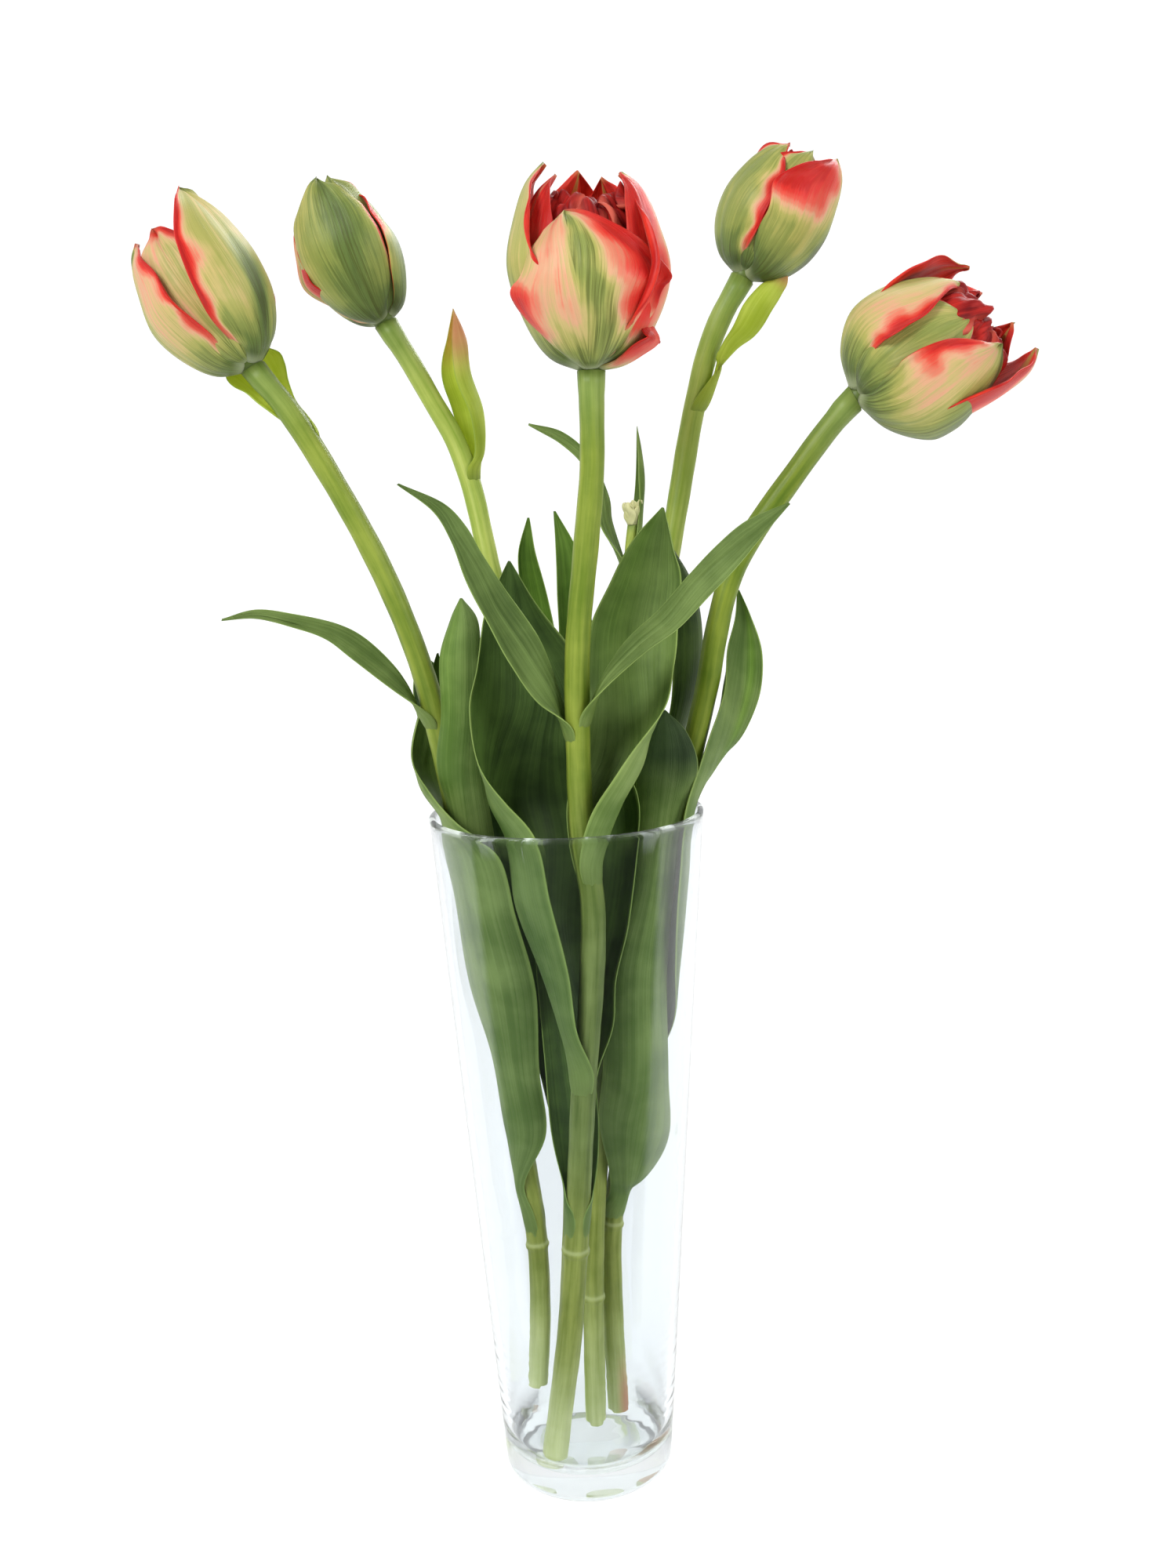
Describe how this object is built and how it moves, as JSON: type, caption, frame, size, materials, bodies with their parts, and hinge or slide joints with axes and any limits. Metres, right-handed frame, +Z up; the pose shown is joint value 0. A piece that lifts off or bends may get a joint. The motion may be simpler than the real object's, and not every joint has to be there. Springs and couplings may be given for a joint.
{
  "type": "tulips in a vase",
  "caption": "Cut double tulips with red, cream and green petals and long leaves, leaning outward from a tall tapered clear glass vase.",
  "frame": {"origin": "centre of the vase's foot, on the surface it stands on", "axes": "+Z up the vase, +X to the right and +Y away from the viewer as pictured"},
  "size_m": [0.3003, 0.1197, 0.4769],
  "materials": {
    "glass": "clear polished glass",
    "stem": "smooth green plant stem, satin",
    "leaf": "grey-green leaf with parallel veins, satin",
    "pale_leaf": "pale green leaf, satin",
    "petal": "green and cream petal with coral-red margins, silky",
    "heart": "coral to dark red inner petals, silky",
    "bud": "pale yellow undeveloped bud, matt"
  },
  "bodies": {
    "root": {"vase": "glass", "stem_1": "stem", "stem_2": "stem", "stem_3": "stem", "stem_4": "stem", "stem_5": "stem", "side_shoot": "stem", "leaf_1_low": "leaf", "leaf_1_mid": "leaf", "leaf_1_top": "pale_leaf", "leaf_2_low": "leaf", "leaf_2_mid": "leaf", "bract_2": "leaf", "leaf_3_low": "leaf", "leaf_3_big": "leaf", "leaf_3_side": "leaf", "leaf_3_left": "leaf", "leaf_3_right": "pale_leaf", "leaf_4_low": "leaf", "leaf_4_mid": "leaf", "leaf_4_side": "pale_leaf", "bract_4": "pale_leaf", "leaf_5_low": "leaf", "leaf_5_side": "leaf", "bract_1": "pale_leaf", "side_leaf_up": "leaf", "side_leaf_long": "leaf", "bloom_1_petals": "petal", "bloom_1_heart": "heart", "bloom_2_petals": "petal", "bloom_2_heart": "heart", "bloom_3_petals": "petal", "bloom_3_heart": "heart", "bloom_4_petals": "petal", "bloom_4_heart": "heart", "bloom_5_petals": "petal", "bloom_5_heart": "heart", "side_bud": "bud"}
  },
  "joints": []
}
